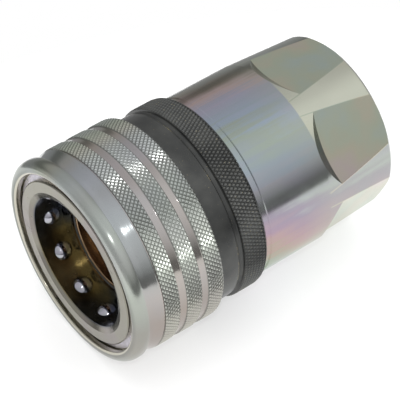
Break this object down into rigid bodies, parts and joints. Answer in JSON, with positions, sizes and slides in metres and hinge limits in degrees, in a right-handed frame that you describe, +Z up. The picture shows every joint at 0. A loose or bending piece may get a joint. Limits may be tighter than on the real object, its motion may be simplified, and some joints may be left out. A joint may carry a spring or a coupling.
{
  "type": "hydraulic quick disconnect coupler",
  "caption": "Female ball-lock quick coupler: knurled spring sleeve with steel balls in its socket, black screwed lock ring, six wrench flats and a threaded port.",
  "frame": {"origin": "on the coupler's axis, where the port thread starts, 1.5 mm inside the port face", "axes": "+Y along the axis towards the port, so the socket mouth faces -Y; +Z up with the coupler lying on its side"},
  "size_m": [0.066, 0.0997, 0.066],
  "materials": {
    "bright_zinc": "bright zinc plate with a faint iridescent passivation",
    "satin_zinc": "turned and knurled satin zinc plate",
    "yellow_chromate": "dark yellow chromate over machined steel",
    "gold_chromate": "golden chromate, polished",
    "black_oxide": "black oxide, semi-matt",
    "ball_chrome": "polished chrome steel",
    "spring_steel": "drawn wire",
    "dark_spring_steel": "phosphated spring steel",
    "nitrile": "moulded nitrile rubber",
    "ptfe": "turned PTFE",
    "bronze": "sintered bronze"
  },
  "bodies": {
    "body": {"rear_body": "bright_zinc", "front_body": "yellow_chromate", "body_o_ring": "nitrile", "body_backup_ring": "ptfe", "sleeve_snap_ring": "dark_spring_steel", "spring_seat_ring": "spring_steel", "seat_tube": "gold_chromate", "seat_tube_o_ring": "nitrile", "nose_seal": "nitrile", "seal_backup_ring": "ptfe", "valve_guide": "satin_zinc", "guide_bush": "bronze", "guide_retaining_ring": "dark_spring_steel"},
    "sleeve": {"release_sleeve": "satin_zinc", "sleeve_spring": "spring_steel"},
    "lock_ring_seal": {"lock_ring_o_ring": "nitrile"},
    "lock_ring_body": {"lock_ring": "black_oxide"},
    "valve": {"valve_poppet": "gold_chromate", "poppet_seal": "nitrile", "valve_spring": "spring_steel"},
    "locking_ball_01": {"locking_ball_01": "ball_chrome"},
    "locking_ball_02": {"locking_ball_02": "ball_chrome"},
    "locking_ball_03": {"locking_ball_03": "ball_chrome"},
    "locking_ball_04": {"locking_ball_04": "ball_chrome"},
    "locking_ball_05": {"locking_ball_05": "ball_chrome"},
    "locking_ball_06": {"locking_ball_06": "ball_chrome"},
    "locking_ball_07": {"locking_ball_07": "ball_chrome"},
    "locking_ball_08": {"locking_ball_08": "ball_chrome"},
    "locking_ball_09": {"locking_ball_09": "ball_chrome"},
    "locking_ball_10": {"locking_ball_10": "ball_chrome"},
    "locking_ball_11": {"locking_ball_11": "ball_chrome"}
  },
  "joints": [
    {"name": "sleeve_slide", "type": "slide", "parent": "body", "child": "sleeve", "axis": [0, 1, 0], "range_m": [0, 0.006], "stiffness_N_per_m": 4000, "springref_m": -0.006, "deforming": ["sleeve_spring"]},
    {"name": "valve_slide", "type": "slide", "parent": "body", "child": "valve", "axis": [0, 1, 0], "range_m": [0, 0.008], "stiffness_N_per_m": 3000, "springref_m": -0.008, "deforming": ["valve_spring"]},
    {"name": "lock_ring_advance", "type": "slide", "parent": "body", "child": "lock_ring_seal", "axis": [0, -1, 0], "range_m": [0, 0.0015]},
    {"name": "lock_ring_turn", "type": "hinge", "parent": "lock_ring_seal", "child": "lock_ring_body", "pos_m": [0, -0.057, 0], "axis": [0, -1, 0], "range_deg": [0, 270]},
    {"name": "locking_ball_01_slide", "type": "slide", "parent": "body", "child": "locking_ball_01", "axis": [0.0209, 0, 0.9998], "range_m": [0, 0.0015]},
    {"name": "locking_ball_02_slide", "type": "slide", "parent": "body", "child": "locking_ball_02", "axis": [0.5581, 0, 0.8297], "range_m": [0, 0.0015]},
    {"name": "locking_ball_03_slide", "type": "slide", "parent": "body", "child": "locking_ball_03", "axis": [0.9181, 0, 0.3963], "range_m": [0, 0.0015]},
    {"name": "locking_ball_04_slide", "type": "slide", "parent": "body", "child": "locking_ball_04", "axis": [0.9866, 0, -0.163], "range_m": [0, 0.0015]},
    {"name": "locking_ball_05_slide", "type": "slide", "parent": "body", "child": "locking_ball_05", "axis": [0.7419, 0, -0.6705], "range_m": [0, 0.0015]},
    {"name": "locking_ball_06_slide", "type": "slide", "parent": "body", "child": "locking_ball_06", "axis": [0.2616, 0, -0.9652], "range_m": [0, 0.0015]},
    {"name": "locking_ball_07_slide", "type": "slide", "parent": "body", "child": "locking_ball_07", "axis": [-0.3018, 0, -0.9534], "range_m": [0, 0.0015]},
    {"name": "locking_ball_08_slide", "type": "slide", "parent": "body", "child": "locking_ball_08", "axis": [-0.7693, 0, -0.6389], "range_m": [0, 0.0015]},
    {"name": "locking_ball_09_slide", "type": "slide", "parent": "body", "child": "locking_ball_09", "axis": [-0.9926, 0, -0.1216], "range_m": [0, 0.0015]},
    {"name": "locking_ball_10_slide", "type": "slide", "parent": "body", "child": "locking_ball_10", "axis": [-0.9007, 0, 0.4344], "range_m": [0, 0.0015]},
    {"name": "locking_ball_11_slide", "type": "slide", "parent": "body", "child": "locking_ball_11", "axis": [-0.5229, 0, 0.8524], "range_m": [0, 0.0015]}
  ],
  "couplings": [
    {"joint": "lock_ring_advance", "follows": "lock_ring_turn", "m_per_rad": 0.00031831},
    {"joint": "locking_ball_01_slide", "follows": "sleeve_slide", "ratio": 0.25},
    {"joint": "locking_ball_02_slide", "follows": "sleeve_slide", "ratio": 0.25},
    {"joint": "locking_ball_03_slide", "follows": "sleeve_slide", "ratio": 0.25},
    {"joint": "locking_ball_04_slide", "follows": "sleeve_slide", "ratio": 0.25},
    {"joint": "locking_ball_05_slide", "follows": "sleeve_slide", "ratio": 0.25},
    {"joint": "locking_ball_06_slide", "follows": "sleeve_slide", "ratio": 0.25},
    {"joint": "locking_ball_07_slide", "follows": "sleeve_slide", "ratio": 0.25},
    {"joint": "locking_ball_08_slide", "follows": "sleeve_slide", "ratio": 0.25},
    {"joint": "locking_ball_09_slide", "follows": "sleeve_slide", "ratio": 0.25},
    {"joint": "locking_ball_10_slide", "follows": "sleeve_slide", "ratio": 0.25},
    {"joint": "locking_ball_11_slide", "follows": "sleeve_slide", "ratio": 0.25}
  ]
}
